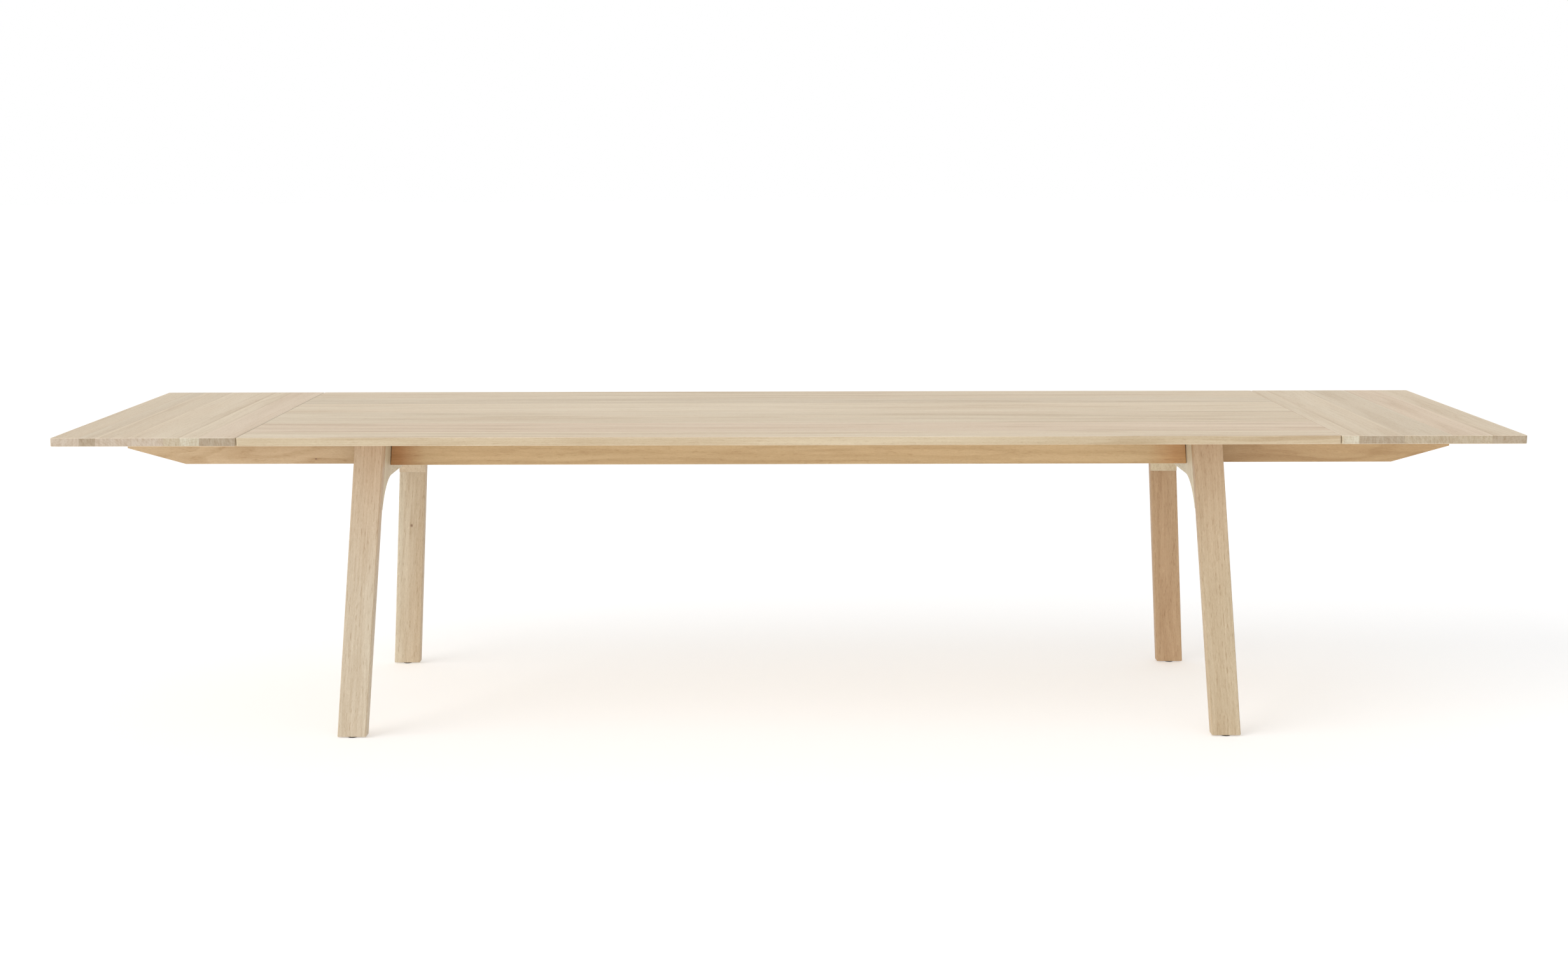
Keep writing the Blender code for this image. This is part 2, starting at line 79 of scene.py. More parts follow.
# Softness of the edges
TOP_EDGE = 0.0018
TOP_CORNER = 0.0045
LEG_EDGE = 0.0026
RAIL_EDGE = 0.0018
ARCH_EDGE = 0.0016
CUTTER_EDGE = 0.0005

# Oak as it shows under white oil, in eight-bit colour; each board takes one of these
OAK_TONES = {
    "top": (224, 209, 184),
    "top_pale": (228, 213, 188),
    "top_grey": (220, 206, 182),
    "top_blush": (226, 208, 184),
    "edge_honey": (209, 196, 169),
    # Paler tone for the rounded upper edge of a top: a painted highlight
    "painted_highlight": (230, 218, 198),
    "end_cream": (202, 196, 177),
    "end_blush": (192, 179, 162),
    "end_sand": (189, 177, 154),
    "end_umber": (170, 156, 135),
    "end_drab": (181, 168, 145),
    "leg_pale": (198, 186, 165),
    "leg_blush": (193, 170, 142),
    "leg_sand": (190, 174, 147),
    "leg_tan": (186, 161, 131),
    "leg_cream": (210, 200, 179),
    "leg_buff": (195, 178, 152),
    "leg_brown": (187, 159, 126),
    "block_pale": (204, 195, 170),
    "block_sand": (202, 186, 161),
    "block_ivory": (211, 204, 181),
    "block_cream": (208, 195, 167),
    # Dark tone for a rail's left end: painted shadow from the end frame beside it
    "rail_painted_shadow": (172, 128, 82),
    "rail_honey": (196, 171, 131),
    "rail_tan": (191, 151, 105),
    "bearer_honey": (202, 180, 147),
    "bearer_tan": (192, 165, 126),
    "bearer_umber": (168, 140, 104),
}

# Boards glued up into the tops: width, tone of the face, tone of the end grain
TOP_BOARDS = (
    (0.090, "top_pale", "end_sand"), (0.155, "top_blush", "end_blush"), (0.215, "top", "end_sand"),
    (0.175, "top_pale", "end_cream"), (0.105, "top_grey", "end_umber"), (0.160, "top", "end_blush"),
)
# From the joint with the main top outwards
LEAF_BOARDS = {
    "left": (
        (0.084, "top_blush", "end_umber"), (0.045, "top_pale", "end_cream"), (0.037, "top", "end_sand"),
        (0.083, "top_pale", "end_blush"), (0.074, "top", "end_blush"), (0.037, "top_grey", "end_umber"),
        (0.067, "top", "end_blush"),
    ),
    "right": (
        (0.040, "top", "end_cream"), (0.104, "top", "end_umber"), (0.110, "top_grey", "end_drab"),
        (0.093, "top_blush", "end_drab"), (0.080, "top", "end_umber"),
    ),
}
# Tones by their place along the piece, 0 to 1: up a leg, along a rail, from a bearer's tip inwards
LEG_TONES = {
    ("left", "front"): ((0.0, "leg_pale"), (0.45, "leg_pale"), (1.0, "leg_blush")),
    ("right", "front"): ((0.0, "leg_sand"), (0.45, "leg_sand"), (1.0, "leg_tan")),
    ("left", "rear"): ((0.0, "leg_cream"),),
    ("right", "rear"): ((0.0, "leg_brown"),),
}
# Along a rail, the dark tone at its left end, fading out by 4.5 percent of its length, is painted shadow from the
# end frame beside it
RAIL_TONES = (
    (0.0, "rail_painted_shadow"), (0.012, "rail_painted_shadow"), (0.045, "rail_honey"), (0.95, "rail_honey"),
    (0.985, "rail_tan"), (1.0, "rail_tan"),
)
BEARER_TONES = {
    "left": ((0.0, "bearer_honey"),),
    "right": ((0.0, "bearer_tan"), (0.30, "bearer_tan"), (0.55, "bearer_umber")),
}
CROSSBAR_TONES = {
    ("left", "front"): "block_pale", ("left", "rear"): "block_sand",
    ("right", "front"): "block_ivory", ("right", "rear"): "block_cream",
}
# Tone that a leg fades to across its width, and the leg that takes painted shade: a dark line this far in from its
# inner face, where its rounded inner edge turns away from the light
SIDE_TONES = {("left", "rear"): "leg_buff"}
LEGS_WITH_EDGE_SHADE = {("left", "front")}
EDGE_SHADE_INSET = 0.0027

# Knots: along and across the board from its origin, then radius
LEG_KNOTS = {("left", "rear"): (0.395, 0.001, 0.0040)}
# Pith from the middle of a bearer's outer face: up, and out through its thickness
BEARER_PITHS = {"left": (0.02, -0.17), "right": (0.05, -0.08)}
BEARER_KNOTS = {("left", "front"): (0.457, 0.012, 0.0028)}
NO_KNOT = (-9.0, 0.0, 0.001)

# A face this square to the fibres shows end grain
END_GRAIN = 0.8
# Upward tilt, as the normal's z, of the rounded upper edge round a top, which takes a paler tone as a painted
# highlight
PAINTED_HIGHLIGHT_TILT = (0.3, 0.97)
# Points nearer than this are one point, and a face this close to a cutting plane is on it
WELD = 0.00002
ON_PLANE = 1e-6

# Each board's random numbers start from its own seed
TOP_SEED = 11
LEAF_SEEDS = {"left": -39, "right": 61}
LEG_SEED = 111
BEAM_SEED = 131
BLOCK_SEED = 141
RAIL_SEED = 161
BEARER_SEED = 171
STRETCHER_SEED = 181

# Oak's own variation, as factors on its stain
PALE_WOOD = (1.07, 1.06, 1.05, 1.0)
DARK_WOOD = (0.80, 0.715, 0.615, 1.0)
WARM_WOOD = (1.01, 0.98, 0.96, 1.0)
FLECK = (1.12, 1.15, 1.17, 1.0)
PORE = (0.62, 0.51, 0.41, 1.0)
FINE_PORE = (0.70, 0.60, 0.50, 1.0)
# Dark line colour for glue lines between boards, and for the painted shade along the left front leg's inner edge
GLUE_AND_SHADE_LINE = (0.62, 0.52, 0.42, 1.0)
KNOT_HEART = (0.22, 0.12, 0.07, 1.0)
# Width of the glue lines and of the painted shade line on the left front leg
GLUE_AND_SHADE_LINE_WIDTH = 0.0011
OAK_BUMP = 0.30
OAK_RELIEF = 0.0004


# ---------------------------------------------------------------- wood on a mesh


def linear(tone):
    """A named tone as linear light."""
    values = [value / 255 for value in OAK_TONES[tone]]
    return Vector([v / 12.92 if v <= 0.04045 else ((v + 0.055) / 1.055) ** 2.4 for v in values])


class Board:
    """One piece of wood: where its fibres run, where its rings centre, and its tones.

    tones are (place, tone) pairs along its length, or one tone. end_tone is the tone of its
    end grain, edge_tone that of its narrow long faces, and side_tone the one that it fades to
    across side_width.
    """

    def __init__(
        self, origin, along, across, tones, seed, length=1.0, width=0.0, end_tone=None,
        edge_tone=None, side_tone=None, side_width=1.0, pith=None, knot=NO_KNOT,
    ):
        chance = random.Random(seed)
        self.origin = Vector(origin)
        self.along = Vector(along).normalized()
        across = Vector(across)
        self.across = (across - self.along * across.dot(self.along)).normalized()
        self.depth = self.along.cross(self.across)
        pairs = ((0.0, tones),) if isinstance(tones, str) else tones
        self.tones = [(place, linear(tone)) for place, tone in pairs]
        self.end_tone = linear(end_tone) if end_tone else self.tones[0][1]
        self.edge_tone = linear(edge_tone) if edge_tone else None
        self.side_tone = linear(side_tone) if side_tone else None
        self.side_width = side_width
        self.length = length
        self.width = width
        self.shift = chance.uniform(1.0, 9.0)
        self.pith = pith or (chance.uniform(-0.06, 0.06), -chance.uniform(0.03, 0.10))
        self.knot = knot

    def grain(self, point):
        """Along, across and through the board, from its origin."""
        offset = point - self.origin
        return Vector((offset.dot(self.along), offset.dot(self.across), offset.dot(self.depth)))

    def along_tone(self, along):
        place = min(max(along / self.length, 0.0), 1.0)
        for (start, low_tone), (stop, high_tone) in zip(self.tones, self.tones[1:]):
            if place <= stop:
                return low_tone.lerp(high_tone, max(place - start, 0.0) / (stop - start))
        return self.tones[-1][1]

    def stain(self, grain, normal):
        """Tone at a place in the board, on a face with this normal."""
        if abs(normal.dot(self.along)) > END_GRAIN:
            return self.end_tone
        if self.edge_tone and abs(normal.dot(self.across)) > END_GRAIN:
            return self.edge_tone
        # The rounded upper edge of a top, tilted between level and upright, takes a painted highlight
        if self.edge_tone and PAINTED_HIGHLIGHT_TILT[0] < normal.z < PAINTED_HIGHLIGHT_TILT[1]:
            return linear("painted_highlight")
        tone = self.along_tone(grain.x)
        if self.side_tone:
            turn = min(max(0.5 + grain.y / self.side_width, 0.0), 1.0)
            tone = tone.lerp(self.side_tone, turn * turn * (3.0 - 2.0 * turn))
        return tone


def store_wood(mesh, board_of):
    """Writes the wood that the oak materials read.

    Corners hold their place in the board and their stain. Faces hold their pith, their knot,
    and as "board" the shift into the log, the glued width and whether they show end grain.
    """
    kinds = {
        "grain": ("FLOAT_VECTOR", "CORNER"),
        "stain": ("FLOAT_COLOR", "CORNER"),
        "board": ("FLOAT_VECTOR", "FACE"),
        "pith": ("FLOAT_VECTOR", "FACE"),
        "knot": ("FLOAT_VECTOR", "FACE"),
    }
    for name, (kind, domain) in kinds.items():
        mesh.attributes.new(name, kind, domain)
    grain, stain, board_data, pith, knot = [mesh.attributes[name].data for name in kinds]
    for face in mesh.polygons:
        board = board_of(face)
        end = 1.0 if abs(face.normal.dot(board.along)) > END_GRAIN else 0.0
        board_data[face.index].vector = (board.shift, board.width, end)
        pith[face.index].vector = (0.0, *board.pith)
        knot[face.index].vector = board.knot
        for loop in face.loop_indices:
            place = board.grain(mesh.vertices[mesh.loops[loop].vertex_index].co)
            grain[loop].vector = place
            stain[loop].color = (*board.stain(place, face.normal), 1.0)


def finish_piece(name, body, board_of, material, cad_node, parent_body):
    """Mesh from bmesh, with its wood, in place of a CAD node."""
    mesh = bpy.data.meshes.new(name)
    bmesh.ops.recalc_face_normals(body, faces=body.faces)
    body.to_mesh(mesh)
    body.free()
    store_wood(mesh, board_of)
    mesh.materials.append(material)
    mesh.polygons.foreach_set("use_smooth", [True] * len(mesh.polygons))
    piece = bpy.data.objects.new(name, mesh)
    bpy.context.scene.collection.objects.link(piece)
    shade = piece.modifiers.new("flat faces stay flat", "WEIGHTED_NORMAL")
    shade.weight = 80
    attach(piece, parent_body)
    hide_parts(cad_node)


# ---------------------------------------------------------------- shapes


def plain_box(low, high):
    body = bmesh.new()
    bmesh.ops.create_cube(body, size=1.0)
    bmesh.ops.scale(body, vec=high - low, verts=body.verts)
    bmesh.ops.translate(body, vec=(low + high) / 2, verts=body.verts)
    return body


def rounded_box(low, high, radius, segments=3):
    body = plain_box(low, high)
    soften(body, radius, segments)
    return body


def rounded_board(low, high, edge, corner):
    """Flat board with its four upright corners rounded first, then all its long edges."""
    body = plain_box(low, high)
    upright = [edge for edge in body.edges if edge.verts[0].co.z != edge.verts[1].co.z]
    bmesh.ops.bevel(
        body, geom=upright, offset=corner, offset_type="OFFSET", segments=4, profile=0.5, affect="EDGES",
    )
    soften(body, edge, sharper_than=60.0)
    return body


def soften(body, radius, segments=3, sharper_than=25.0):
    """Round every edge that turns by more than the angle given, and weld the slivers this leaves."""
    edges = [edge for edge in body.edges if edge.calc_face_angle(0.0) > radians(sharper_than)]
    bmesh.ops.bevel(
        body, geom=edges, offset=radius, offset_type="OFFSET", segments=segments,
        profile=0.5, affect="EDGES", clamp_overlap=True,
    )
    bmesh.ops.remove_doubles(body, verts=body.verts, dist=WELD)


def shear(body, lean_x, lean_y, pivot_z):
    """Shift each point sideways in proportion to its height above the pivot."""
    for vert in body.verts:
        rise = vert.co.z - pivot_z
        vert.co.x += lean_x * rise
        vert.co.y += lean_y * rise


def extruded(points, half, place):
    """Closed outline of (u, v) points, extruded to +-half; place turns (u, v, w) into x, y, z."""
    body = bmesh.new()
    near, far = [[body.verts.new(place(u, v, w)) for u, v in points] for w in (-half, half)]
    body.faces.new(near)
    body.faces.new(far)
    for i in range(len(points)):
        body.faces.new((near[i - 1], near[i], far[i], far[i - 1]))
    bmesh.ops.recalc_face_normals(body, faces=body.faces)
    return body


def slice_at(body, spots, axis):
    """Cut the faces along planes square to an axis, so that boards and tones can meet there."""
    for spot in spots:
        geometry = body.verts[:] + body.edges[:] + body.faces[:]
        bmesh.ops.bisect_plane(
            body, geom=geometry, dist=ON_PLANE, plane_co=axis * spot, plane_no=axis,
        )


def evenly(start, stop, parts):
    """The places between start and stop that part it evenly."""
    return [start + (stop - start) * step / parts for step in range(1, parts)]


def without(body, tool_body):
    """Body less the tool, by an exact boolean."""
    items = []
    for name, part in (("blank", body), ("tool", tool_body)):
        mesh = bpy.data.meshes.new(name)
        bmesh.ops.recalc_face_normals(part, faces=part.faces)
        part.to_mesh(mesh)
        part.free()
        item = bpy.data.objects.new(name, mesh)
        bpy.context.scene.collection.objects.link(item)
        items.append(item)
    blank, tool = items
    cut = blank.modifiers.new("cut", "BOOLEAN")
    cut.operation = "DIFFERENCE"
    cut.solver = "EXACT"
    cut.object = tool
    result = bmesh.new()
    result.from_mesh(blank.evaluated_get(bpy.context.evaluated_depsgraph_get()).to_mesh())
    for item in items:
        bpy.data.objects.remove(item, do_unlink=True)
    return result


def drilled(body, holes, radius):
    """Blind round holes: each is a (mouth, bottom) pair of points."""
    tool = bmesh.new()
    for mouth, bottom in holes:
        axis = bottom - mouth
        turn = axis.to_track_quat("Z", "Y").to_matrix().to_4x4()
        bmesh.ops.create_cone(
            tool, cap_ends=True, segments=32, radius1=radius, radius2=radius,
            depth=axis.length, matrix=Matrix.Translation((mouth + bottom) / 2) @ turn,
        )
    return without(body, tool)


# ---------------------------------------------------------------- material building


class Graph:
    """Short calls for building a material's nodes."""

    def __init__(self, name):
        self.material = bpy.data.materials.new(name)
        self.material.use_nodes = True
        self.tree = self.material.node_tree
        self.tree.nodes.clear()

    def node(self, kind, **settings):
        made = self.tree.nodes.new(kind)
        for key, value in settings.items():
            setattr(made, key, value)
        return made

    def put(self, socket, value):
        """A socket takes another node's output, or a plain value."""
        if isinstance(value, bpy.types.NodeSocket):
            self.tree.links.new(value, socket)
        else:
            socket.default_value = value

    def math(self, operation, a, b=0.0, c=0.0, clamp=False):
        made = self.node("ShaderNodeMath", operation=operation, use_clamp=clamp)
        for socket, value in zip(made.inputs, (a, b, c)):
            self.put(socket, value)
        return made.outputs[0]

    def vector(self, operation, a, b=(0.0, 0.0, 0.0), output="Vector"):
        made = self.node("ShaderNodeVectorMath", operation=operation)
        self.put(made.inputs[0], a)
        self.put(made.inputs[1], b)
        return made.outputs[output]

    def noise(self, place, scale, detail=2.0, roughness=0.5, distortion=0.0):
        """Noise with its own number of waves per metre along each axis."""
        made = self.node("ShaderNodeTexNoise", noise_dimensions="3D")
        self.put(made.inputs["Vector"], self.vector("MULTIPLY", place, scale))
        made.inputs["Scale"].default_value = 1.0
        made.inputs["Detail"].default_value = detail
        made.inputs["Roughness"].default_value = roughness
        made.inputs["Distortion"].default_value = distortion
        return made.outputs["Fac"]

    def span(self, value, low, high, to_low=0.0, to_high=1.0):
        """Smooth step from low to high, clamped."""
        made = self.node("ShaderNodeMapRange", interpolation_type="SMOOTHSTEP")
        for socket, number in zip(made.inputs, (value, low, high, to_low, to_high)):
            self.put(socket, number)
        return made.outputs[0]

    def swing(self, value, amount, onto=0.0):
        """Noise about its middle, scaled and added to another value."""
        return self.math("MULTIPLY_ADD", self.math("SUBTRACT", value, 0.5), amount, onto)

    def mix(self, factor, a, b, blend="MIX"):
        made = self.node("ShaderNodeMix", data_type="RGBA", blend_type=blend)
        self.put(made.inputs[0], factor)
        self.put(made.inputs[6], a)
        self.put(made.inputs[7], b)
        return made.outputs[2]

    def attribute(self, name, output="Vector"):
        return self.node("ShaderNodeAttribute", attribute_name=name).outputs[output]

    def parts(self, vector):
        made = self.node("ShaderNodeSeparateXYZ")
        self.put(made.inputs[0], vector)
        return made.outputs

    def surface(self, colour, roughness, height, strength, distance, **constants):
        """Principled surface with bump; constants are set on its own sockets."""
        shader = self.node("ShaderNodeBsdfPrincipled")
        self.put(shader.inputs["Base Color"], colour)
        self.put(shader.inputs["Roughness"], roughness)
        for name, value in constants.items():
            shader.inputs[name.replace("_", " ")].default_value = value
        bump = self.node("ShaderNodeBump")
        bump.inputs["Strength"].default_value = strength
        bump.inputs["Distance"].default_value = distance
        self.put(bump.inputs["Height"], height)
        self.put(shader.inputs["Normal"], bump.outputs[0])
        output = self.node("ShaderNodeOutputMaterial")
        self.put(output.inputs["Surface"], shader.outputs[0])
        return self.material


# ---------------------------------------------------------------- oak


def oak_fibres(graph, place, waviness):
    """The board's own grain space, bent slowly as the fibres wander."""
    sideways = graph.noise(place, (2.1, 9.0, 9.0), detail=1.0)
    inwards = graph.noise(graph.vector("ADD", place, (31.0, 0.0, 0.0)), (2.6, 8.0, 8.0), detail=1.0)
    wander = graph.node("ShaderNodeCombineXYZ")
    graph.put(wander.inputs[1], graph.swing(sideways, waviness))
    graph.put(wander.inputs[2], graph.swing(inwards, waviness))
    return graph.vector("ADD", place, wander.outputs[0])


def oak_rings(graph, place, fibres, ring_width):
    """Early wood of each growth ring, 0 to 1, about the board's pith."""
    across = graph.vector("MULTIPLY", fibres, (0.0, 1.0, 1.0))
    reach = graph.vector("DISTANCE", across, graph.attribute("pith"), output="Value")
    ragged = graph.noise(place, (11.0, 130.0, 130.0), detail=2.0)
    uneven = graph.noise(place, (0.6, 24.0, 24.0), detail=1.0)
    ring_at = graph.swing(ragged, 0.0030, graph.swing(uneven, 0.022, reach))
    ring = graph.math("FRACT", graph.math("DIVIDE", ring_at, ring_width))
    return graph.math("MULTIPLY", graph.span(ring, 0.0, 0.12), graph.span(ring, 0.15, 0.75, 1.0, 0.0))


def oak_pores(graph, fibres, early):
    """Open vessels as dashes, coarse ones in the early wood and hair-fine ones everywhere."""
    coarse = graph.span(graph.noise(fibres, (48.0, 520.0, 520.0), detail=1.0), 0.56, 0.70)
    fine = graph.span(graph.noise(fibres, (150.0, 2600.0, 2600.0), detail=1.0), 0.56, 0.70)
    gathered = graph.math("MULTIPLY", coarse, graph.math("MULTIPLY_ADD", early, 0.6, 0.4))
    return gathered, fine


def oak_knot(graph, grain):
    """Dark heart of a knot and the darker fibres that stream past it."""
    offset = graph.vector("SUBTRACT", grain, graph.attribute("knot"))
    ragged = graph.noise(grain, (260.0, 260.0, 260.0), detail=1.0)
    flat = graph.vector("MULTIPLY", offset, (0.8, 1.0, 0.0))
    streaming = graph.vector("MULTIPLY", offset, (0.16, 1.0, 0.0))
    radius = graph.parts(graph.attribute("knot"))[2]
    near = graph.math("DIVIDE", graph.vector("LENGTH", flat, output="Value"), radius)
    near = graph.swing(ragged, 1.1, near)
    past = graph.math("DIVIDE", graph.vector("LENGTH", streaming, output="Value"), radius)
    return graph.span(near, 0.3, 1.1, 1.0, 0.0), graph.span(past, 0.5, 2.4, 1.0, 0.0)


def oak_glue_and_shade_lines(graph, across, width):
    """Thin dark lines at both edges of a board with a width: glue lines between the boards of the tops, and
    painted shade along the left front leg's inner edge; a width of 0 has none.
    """
    other = graph.math("ABSOLUTE", graph.math("SUBTRACT", width, across))
    nearest = graph.math("MINIMUM", graph.math("ABSOLUTE", across), other)
    glued = graph.math("GREATER_THAN", graph.math("ABSOLUTE", width), 0.0)
    return graph.math("MULTIPLY", graph.span(nearest, 0.0, GLUE_AND_SHADE_LINE_WIDTH, 1.0, 0.0), glued)


def oak_rims(graph, place, across, width):
    """Darker heartwood along one edge of a glued-up board and pale sapwood along the other."""
    comes_and_goes = graph.span(graph.noise(place, (1.3, 6.0, 6.0), detail=1.0), 0.40, 0.62)
    other = graph.math("ABSOLUTE", graph.math("SUBTRACT", width, across))
    glued = graph.math("GREATER_THAN", width, 0.0)
    heart = graph.span(graph.math("ABSOLUTE", across), 0.002, 0.012, 1.0, 0.0)
    heart = graph.math("MULTIPLY", graph.math("MULTIPLY", heart, glued), comes_and_goes)
    sap = graph.math("MULTIPLY", graph.span(other, 0.002, 0.014, 1.0, 0.0), glued)
    return heart, sap


def oak(name, figure, lines, dashes, mottle, glue_and_shade_lines, ring_width, waviness, roughness):
    """Oiled oak. The first five set how strongly rings, long lines, pores, clouds and the dark lines show, glue
    lines on the tops and painted shade along a leg's inner edge on the frame.
    """
    graph = Graph(name)
    grain = graph.attribute("grain")
    board = graph.parts(graph.attribute("board"))
    shift = graph.node("ShaderNodeCombineXYZ")
    graph.put(shift.inputs[0], board[0])
    place = graph.vector("ADD", grain, shift.outputs[0])
    fibres = oak_fibres(graph, place, waviness)
    early = oak_rings(graph, place, fibres, ring_width)
    pores, fine_pores = oak_pores(graph, fibres, early)
    heart, stream = oak_knot(graph, grain)
    across = graph.parts(grain)[1]
    glue_and_shade_line = oak_glue_and_shade_lines(graph, across, board[1])
    heartwood, sapwood = oak_rims(graph, place, across, board[1])
    end = board[2]

    long_lines = graph.noise(fibres, (0.9, 60.0, 60.0), detail=3.0, roughness=0.55)
    bold = graph.noise(fibres, (1.7, 26.0, 26.0), detail=2.0, roughness=0.5)
    streaks = graph.noise(fibres, (8.0, 200.0, 200.0), detail=3.0, roughness=0.6)
    fine = graph.noise(fibres, (34.0, 1300.0, 1300.0), detail=2.0, roughness=0.6)
    clouds = graph.noise(place, (3.0, 17.0, 17.0), detail=2.0)
    flecks = graph.span(graph.noise(fibres, (70.0, 300.0, 100.0), detail=1.0), 0.56, 0.72)
    hatch = graph.noise(place, (5.0, 230.0, 55.0), detail=3.0, roughness=0.75)
    patches = graph.noise(place, (5.0, 75.0, 60.0), detail=2.0)

    dark = graph.math("MULTIPLY_ADD", early, 0.42 * figure, 0.20)
    dark = graph.swing(long_lines, 0.85 * lines, dark)
    dark = graph.swing(streaks, 1.0 * dashes, dark)
    dark = graph.math("MULTIPLY_ADD", graph.span(bold, 0.54, 0.66), 0.50 * lines, dark)
    dark = graph.math("MULTIPLY_ADD", graph.span(bold, 0.34, 0.46, 1.0, 0.0), -0.30 * lines, dark)
    dark = graph.swing(fine, 0.38, dark)
    dark = graph.swing(clouds, mottle, dark)
    dark = graph.math("MULTIPLY_ADD", stream, 0.35, dark)
    dark = graph.math("MULTIPLY_ADD", heartwood, 0.32, dark)
    dark = graph.math("MULTIPLY_ADD", sapwood, -0.22, dark)
    dark_end = graph.swing(hatch, 2.6, graph.math("MULTIPLY_ADD", early, 0.18, 0.26))
    dark_end = graph.swing(patches, 1.3, dark_end)
    turn = graph.math("MULTIPLY", end, graph.math("SUBTRACT", dark_end, dark))
    dark = graph.math("ADD", dark, turn, clamp=True)
    tint = graph.mix(dark, PALE_WOOD, DARK_WOOD)
    colour = graph.mix(1.0, graph.attribute("stain", "Color"), tint, "MULTIPLY")

    warm = graph.span(graph.noise(place, (1.6, 22.0, 22.0), detail=1.0), 0.35, 0.65)
    colour = graph.mix(graph.math("MULTIPLY", warm, 0.5), colour, WARM_WOOD, "MULTIPLY")
    colour = graph.mix(graph.math("MULTIPLY", flecks, 0.55 * dashes), colour, FLECK, "MULTIPLY")
    colour = graph.mix(graph.math("MULTIPLY", pores, 0.6 * dashes), colour, PORE, "MULTIPLY")
    colour = graph.mix(graph.math("MULTIPLY", fine_pores, 0.45), colour, FINE_PORE, "MULTIPLY")
    # Dark lines: glue lines on the tops, and painted shade along the left front leg's inner edge
    colour = graph.mix(graph.math("MULTIPLY", glue_and_shade_line, glue_and_shade_lines), colour, GLUE_AND_SHADE_LINE, "MULTIPLY")
    colour = graph.mix(graph.math("MULTIPLY", heart, 0.8), colour, KNOT_HEART)

    rough = graph.math("MULTIPLY_ADD", fine, 0.16, roughness - 0.08)
    rough = graph.math("MULTIPLY_ADD", pores, 0.12, rough)
    height = graph.math("MULTIPLY", graph.math("ADD", fine, streaks), 0.35)
    height = graph.math("MULTIPLY_ADD", graph.math("MAXIMUM", pores, fine_pores), -0.55, height)
    height = graph.math("MULTIPLY_ADD", glue_and_shade_line, -0.7, height)
    return graph.surface(colour, rough, height, OAK_BUMP, OAK_RELIEF, Specular_IOR_Level=0.45)


# ---------------------------------------------------------------- other materials


def turned_beech():
    """Dowels, pegs and keepers: plain pale wood with short brown flecks."""
    graph = Graph("beech")
    place = graph.node("ShaderNodeTexCoord").outputs["Object"]
    flecks = graph.span(graph.noise(place, (700.0, 700.0, 700.0), detail=1.0), 0.52, 0.66)
    clouds = graph.noise(place, (45.0, 45.0, 45.0), detail=2.0)
    colour = graph.mix(clouds, (0.66, 0.49, 0.34, 1.0), (0.56, 0.39, 0.25, 1.0))
    colour = graph.mix(graph.math("MULTIPLY", flecks, 0.35), colour, (0.38, 0.22, 0.12, 1.0))
    rough = graph.math("MULTIPLY_ADD", clouds, 0.15, 0.50)
    return graph.surface(colour, rough, flecks, 0.2, 0.0002)


def zinc_steel():
    """Bright zinc on pressed steel, with faint spangle and smears."""
    graph = Graph("zinc_steel")
    place = graph.node("ShaderNodeTexCoord").outputs["Object"]
    spangle = graph.noise(place, (420.0, 420.0, 420.0), detail=2.0)
    smear = graph.noise(place, (60.0, 60.0, 60.0), detail=3.0)
    colour = graph.mix(spangle, (0.58, 0.59, 0.60, 1.0), (0.74, 0.75, 0.76, 1.0))
    rough = graph.math("MULTIPLY_ADD", smear, 0.25, 0.24)
    return graph.surface(colour, rough, smear, 0.08, 0.0002, Metallic=1.0)


def wool_felt():
    """Dark felt of matted fibres."""
    graph = Graph("felt")
    place = graph.node("ShaderNodeTexCoord").outputs["Object"]
    fuzz = graph.noise(place, (1400.0, 1400.0, 1400.0), detail=3.0, distortion=1.5)
    colour = graph.mix(fuzz, (0.035, 0.032, 0.030, 1.0), (0.11, 0.10, 0.095, 1.0))
    rough = graph.math("MULTIPLY_ADD", fuzz, 0.1, 0.88)
    return graph.surface(colour, rough, fuzz, 0.6, 0.0004, Sheen_Weight=0.3)


TOP_OAK = oak(
    "top_oak", figure=0.30, lines=0.72, dashes=0.4, mottle=0.15, glue_and_shade_lines=0.28,
    ring_width=0.0060, waviness=0.02, roughness=0.50,
)
LEAF_OAK = oak(
    "leaf_oak", figure=0.30, lines=0.45, dashes=0.4, mottle=0.30, glue_and_shade_lines=0.20,
    ring_width=0.0060, waviness=0.02, roughness=0.50,
)
# On the frame only the left front leg has a board width, so these dark lines are only its painted shade
FRAME_OAK = oak(
    "frame_oak", figure=0.34, lines=0.42, dashes=0.95, mottle=0.60, glue_and_shade_lines=0.90,
    ring_width=0.0078, waviness=0.03, roughness=0.55,
)
RAIL_OAK = oak(
    "rail_oak", figure=0.60, lines=1.1, dashes=0.6, mottle=0.60, glue_and_shade_lines=0.50,
    ring_width=0.0085, waviness=0.025, roughness=0.55,
)
BEARER_OAK = oak(
    "bearer_oak", figure=0.70, lines=0.60, dashes=0.6, mottle=0.25, glue_and_shade_lines=0.50,
    ring_width=0.0085, waviness=0.05, roughness=0.55,
)


# ---------------------------------------------------------------- tops


def board_picker(edges, boards, axis):
    """For a face, the board whose stretch of the axis holds its middle."""

    def pick(face):
        spot = face.center.dot(axis)
        for edge, board in zip(edges[1:-1], boards):
            if spot < edge:
                return board
        return boards[-1]

    return pick


